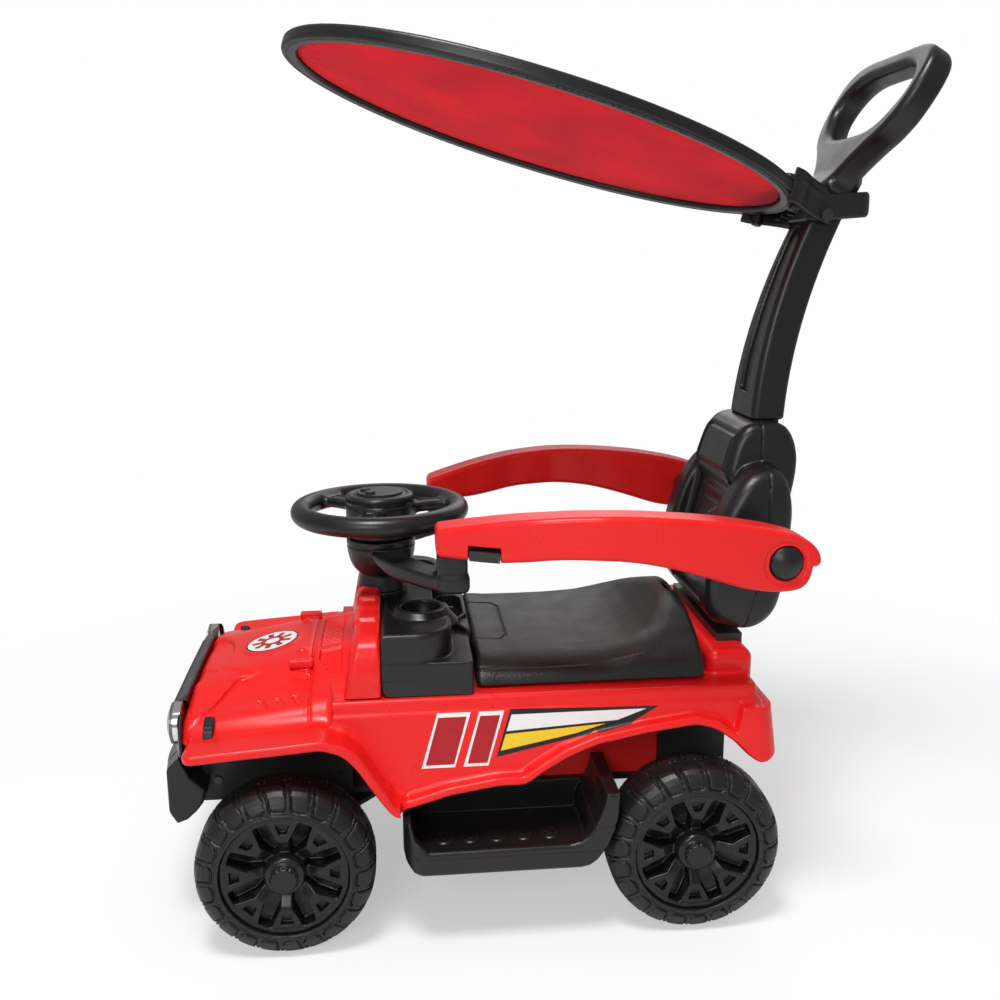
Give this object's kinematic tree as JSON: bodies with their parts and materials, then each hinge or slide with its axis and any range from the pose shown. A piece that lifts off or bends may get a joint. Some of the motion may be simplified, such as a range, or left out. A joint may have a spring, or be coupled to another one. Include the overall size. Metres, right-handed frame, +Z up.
{
  "type": "push car with handle",
  "caption": "Toddler's foot-to-floor push car with steered front wheels, lidded seat, swing-up armrests, parent handle and a tilted oval sun canopy.",
  "frame": {"origin": "floor level, at the middle of the whole car's length and width", "axes": "+X towards the nose, +Y to the car's left, +Z up"},
  "size_m": [0.7696, 0.4, 0.8516],
  "materials": {
    "body_red": "satin moulded polyethylene",
    "trim_black": "satin moulded polypropylene",
    "seat_black": "fine grained blow moulding",
    "tyre_black": "matte blow-moulded plastic tyre",
    "wheel_cover_black": "semi-gloss plastic trim",
    "steel": "zinc plated",
    "latch_rubber": "matte",
    "lamp_chrome": "vacuum plated",
    "lamp_clear": "clear moulded",
    "canopy_cloth": "stretched woven polyester",
    "button_black": "smooth"
  },
  "bodies": {
    "car": {"armrest_knob_left": "trim_black", "armrest_knob_right": "trim_black", "armrest_pivot_pins": "steel", "backrest_foot": "trim_black", "backrest_front": "seat_black", "backrest_rear": "seat_black", "body_screws": "steel", "body_shell": "body_red", "canopy_bracket": "trim_black", "canopy_clamp": "trim_black", "canopy_fabric": "canopy_cloth", "canopy_frame": "trim_black", "chassis": "trim_black", "clamp_bolt": "trim_black", "column_sleeve": "trim_black", "cowl_panel": "body_red", "dash_console": "trim_black", "foot_tray_left": "trim_black", "foot_tray_right": "trim_black", "front_bumper": "trim_black", "gear_pod": "trim_black", "grille_panel": "trim_black", "guard_bracket": "trim_black", "headlight_bowl_left": "lamp_chrome", "headlight_bowl_right": "lamp_chrome", "headlight_lens_left": "lamp_clear", "headlight_lens_right": "lamp_clear", "hood_latches": "latch_rubber", "kingpins": "steel", "push_handle": "trim_black", "rear_axle": "steel", "rear_axle_carrier": "trim_black", "rear_axle_nuts": "steel", "seat_hinge_pin": "steel", "storage_bin": "body_red"},
    "steering": {"steering_wheel": "trim_black", "steering_shaft": "steel", "hub_pad": "trim_black", "sound_module": "trim_black"},
    "music_button_front": {"music_button_front": "button_black"},
    "music_button_rear": {"music_button_rear": "button_black"},
    "tie_rod": {"tie_rod": "trim_black"},
    "knuckle_left": {"knuckle_left": "trim_black", "stub_axle_left": "steel"},
    "knuckle_right": {"knuckle_right": "trim_black", "stub_axle_right": "steel"},
    "armrest_left": {"armrest_left": "body_red"},
    "armrest_right": {"armrest_right": "body_red"},
    "latch_left": {"armrest_latch_left": "trim_black"},
    "latch_right": {"armrest_latch_right": "trim_black"},
    "seat_lid": {"seat_lid": "seat_black"},
    "wheel_front_left": {"wheel_front_left": "tyre_black", "wheel_cover_front_left": "wheel_cover_black"},
    "wheel_front_right": {"wheel_front_right": "tyre_black", "wheel_cover_front_right": "wheel_cover_black"},
    "wheel_rear_left": {"wheel_rear_left": "tyre_black", "wheel_cover_rear_left": "wheel_cover_black"},
    "wheel_rear_right": {"wheel_rear_right": "tyre_black", "wheel_cover_rear_right": "wheel_cover_black"}
  },
  "joints": [
    {"name": "steering_turn", "type": "hinge", "parent": "car", "child": "steering", "pos_m": [0.16581, 0, 0.36], "axis": [0, 0, 1], "range_deg": [-26, 26]},
    {"name": "tie_rod_shift", "type": "slide", "parent": "car", "child": "tie_rod", "axis": [0, 1, 0], "range_m": [-0.0115, 0.0115]},
    {"name": "knuckle_turn_left", "type": "hinge", "parent": "car", "child": "knuckle_left", "pos_m": [0.26181, 0.118, 0.085], "axis": [0, 0, 1], "range_deg": [-16.2, 16.2]},
    {"name": "knuckle_turn_right", "type": "hinge", "parent": "car", "child": "knuckle_right", "pos_m": [0.26181, -0.118, 0.085], "axis": [0, 0, 1], "range_deg": [-16.2, 16.2]},
    {"name": "wheel_front_left_spin", "type": "hinge", "parent": "knuckle_left", "child": "wheel_front_left", "pos_m": [0.26181, 0.164, 0.085], "axis": [0, 1, 0], "continuous": true},
    {"name": "wheel_rear_left_spin", "type": "hinge", "parent": "car", "child": "wheel_rear_left", "pos_m": [-0.13019, 0.164, 0.085], "axis": [0, 1, 0], "continuous": true},
    {"name": "armrest_left_lift", "type": "hinge", "parent": "car", "child": "armrest_left", "pos_m": [-0.20319, 0.16, 0.372], "axis": [0, -1, 0], "range_deg": [0, 90]},
    {"name": "armrest_left_latch_press", "type": "slide", "parent": "armrest_left", "child": "latch_left", "axis": [0, 0, 1], "range_m": [0, 0.003], "stiffness_N_per_m": 400, "springref_m": -0.003},
    {"name": "wheel_front_right_spin", "type": "hinge", "parent": "knuckle_right", "child": "wheel_front_right", "pos_m": [0.26181, -0.164, 0.085], "axis": [0, 1, 0], "continuous": true},
    {"name": "wheel_rear_right_spin", "type": "hinge", "parent": "car", "child": "wheel_rear_right", "pos_m": [-0.13019, -0.164, 0.085], "axis": [0, 1, 0], "continuous": true},
    {"name": "armrest_right_lift", "type": "hinge", "parent": "car", "child": "armrest_right", "pos_m": [-0.20319, -0.16, 0.372], "axis": [0, -1, 0], "range_deg": [0, 90]},
    {"name": "armrest_right_latch_press", "type": "slide", "parent": "armrest_right", "child": "latch_right", "axis": [0, 0, 1], "range_m": [0, 0.003], "stiffness_N_per_m": 400, "springref_m": -0.003},
    {"name": "seat_lid_open", "type": "hinge", "parent": "car", "child": "seat_lid", "pos_m": [0.06911, 0, 0.2587], "axis": [0, 1, 0], "range_deg": [0, 25]},
    {"name": "music_button_front_press", "type": "slide", "parent": "steering", "child": "music_button_front", "axis": [0, 0, -1], "range_m": [0, 0.002], "stiffness_N_per_m": 400, "springref_m": -0.002},
    {"name": "music_button_rear_press", "type": "slide", "parent": "steering", "child": "music_button_rear", "axis": [0, 0, -1], "range_m": [0, 0.002], "stiffness_N_per_m": 400, "springref_m": -0.002}
  ],
  "couplings": [
    {"joint": "tie_rod_shift", "follows": "steering_turn", "m_per_rad": -0.024151},
    {"joint": "knuckle_turn_left", "follows": "steering_turn", "ratio": 0.61159},
    {"joint": "knuckle_turn_right", "follows": "steering_turn", "ratio": 0.61159}
  ]
}
